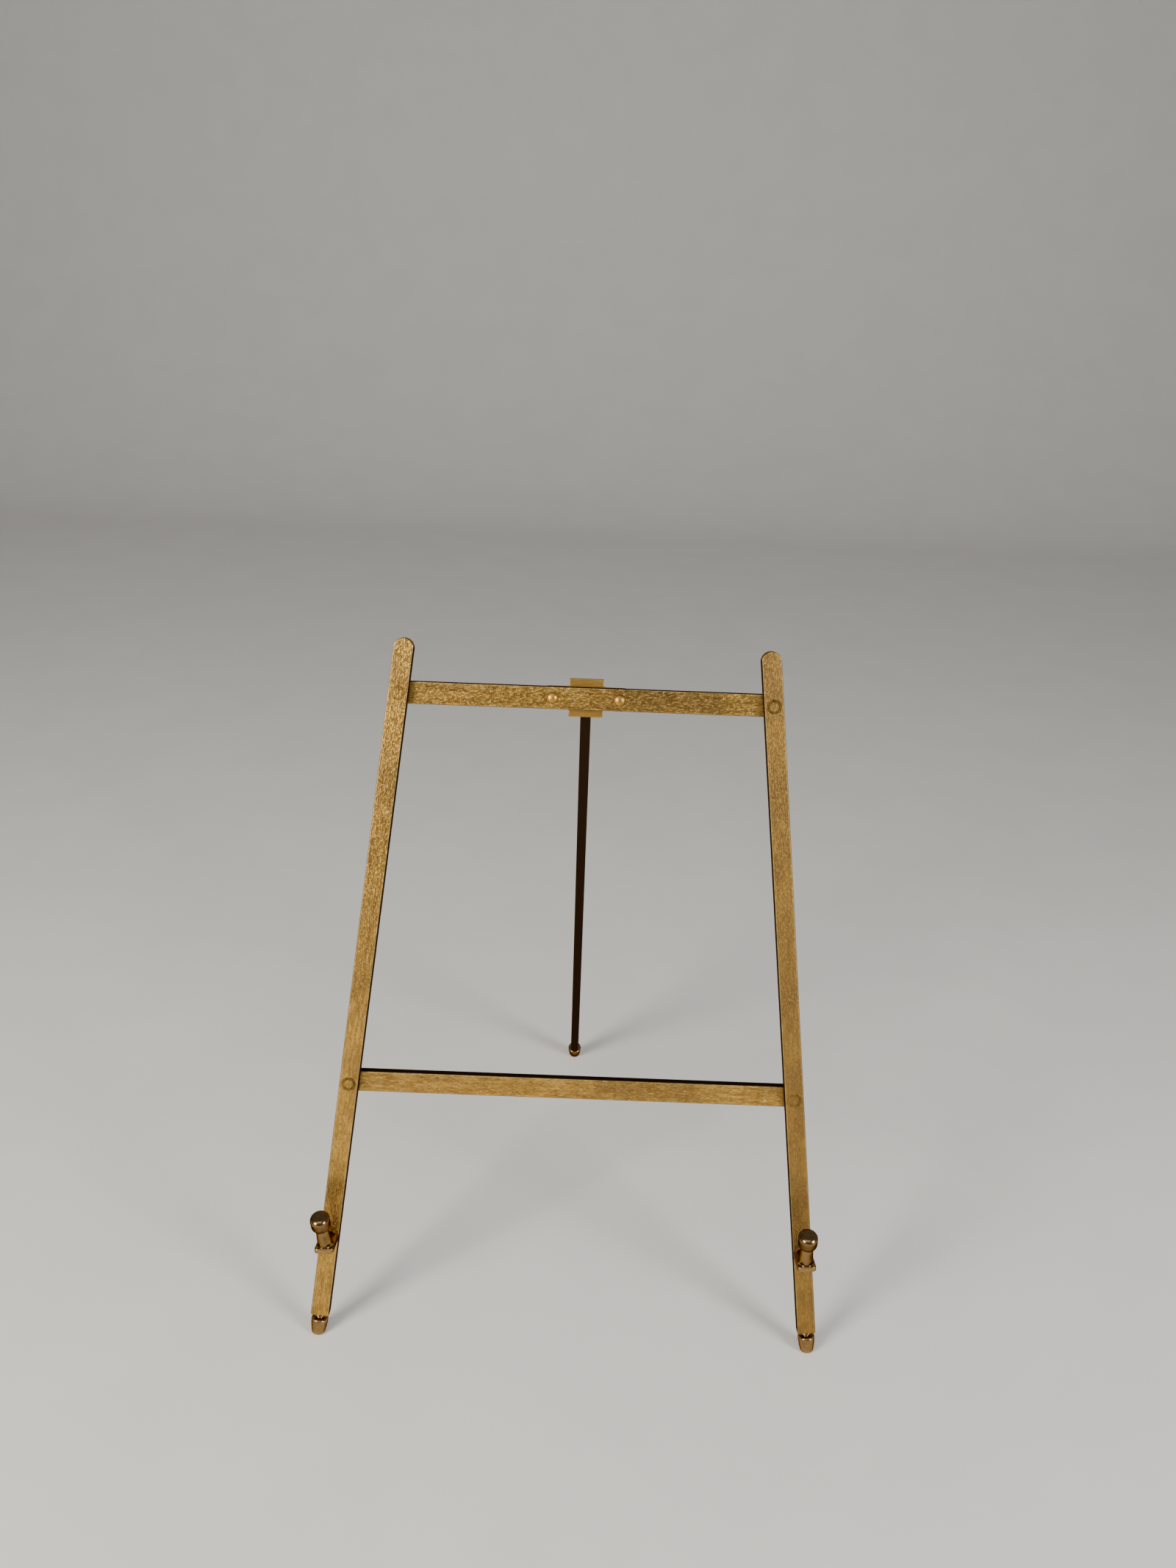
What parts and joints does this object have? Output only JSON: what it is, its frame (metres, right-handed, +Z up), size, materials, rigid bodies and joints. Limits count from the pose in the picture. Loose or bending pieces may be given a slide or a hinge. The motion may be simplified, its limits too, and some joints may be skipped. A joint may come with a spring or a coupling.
{
  "type": "plate display stand",
  "caption": "Folding brass easel that holds a plate upright: a leaning frame on turned feet with two swivelling round-headed hooks, and a hinged rear leg.",
  "frame": {"origin": "on the surface that the stand rests on, under the middle of the open stand", "axes": "+Z up, +X to the right of someone who faces the plate, -Y towards that person"},
  "size_m": [0.1724, 0.1618, 0.2307],
  "materials": {
    "brushed_bar": "brushed along the bar, lightly aged",
    "turned_polished": "turned and polished, with a brown patina",
    "bracket_brass": "satin, lightly aged",
    "rivet_brass": "hand-finished, worn bright on the crowns"
  },
  "bodies": {
    "front_frame": {"left_leg": "brushed_bar", "right_leg": "brushed_bar", "upper_crossbar": "brushed_bar", "lower_crossbar": "brushed_bar", "left_upper_rivet": "rivet_brass", "right_upper_rivet": "rivet_brass", "left_lower_rivet": "rivet_brass", "right_lower_rivet": "rivet_brass", "left_foot": "turned_polished", "right_foot": "turned_polished", "hinge_bracket": "bracket_brass", "hinge_bracket_rivets": "rivet_brass", "hinge_pin": "rivet_brass", "hinge_washers": "rivet_brass"},
    "rear_prop": {"rear_leg": "brushed_bar", "rear_foot": "turned_polished"},
    "left_hook": {"left_hook_arm": "turned_polished", "left_hook_post": "turned_polished", "left_hook_burr": "rivet_brass"},
    "right_hook": {"right_hook_arm": "turned_polished", "right_hook_post": "turned_polished", "right_hook_burr": "rivet_brass"}
  },
  "joints": [
    {"name": "rear_prop_fold", "type": "hinge", "parent": "front_frame", "child": "rear_prop", "pos_m": [0, -0.01032, 0.21115], "axis": [1, 0, 0], "range_deg": [-38, 0]},
    {"name": "left_hook_turn", "type": "hinge", "parent": "front_frame", "child": "left_hook", "pos_m": [-0.0797, -0.06978, 0.03637], "axis": [0, 0.9659, -0.2588], "continuous": true},
    {"name": "right_hook_turn", "type": "hinge", "parent": "front_frame", "child": "right_hook", "pos_m": [0.0797, -0.06978, 0.03637], "axis": [0, 0.9659, -0.2588], "continuous": true}
  ]
}
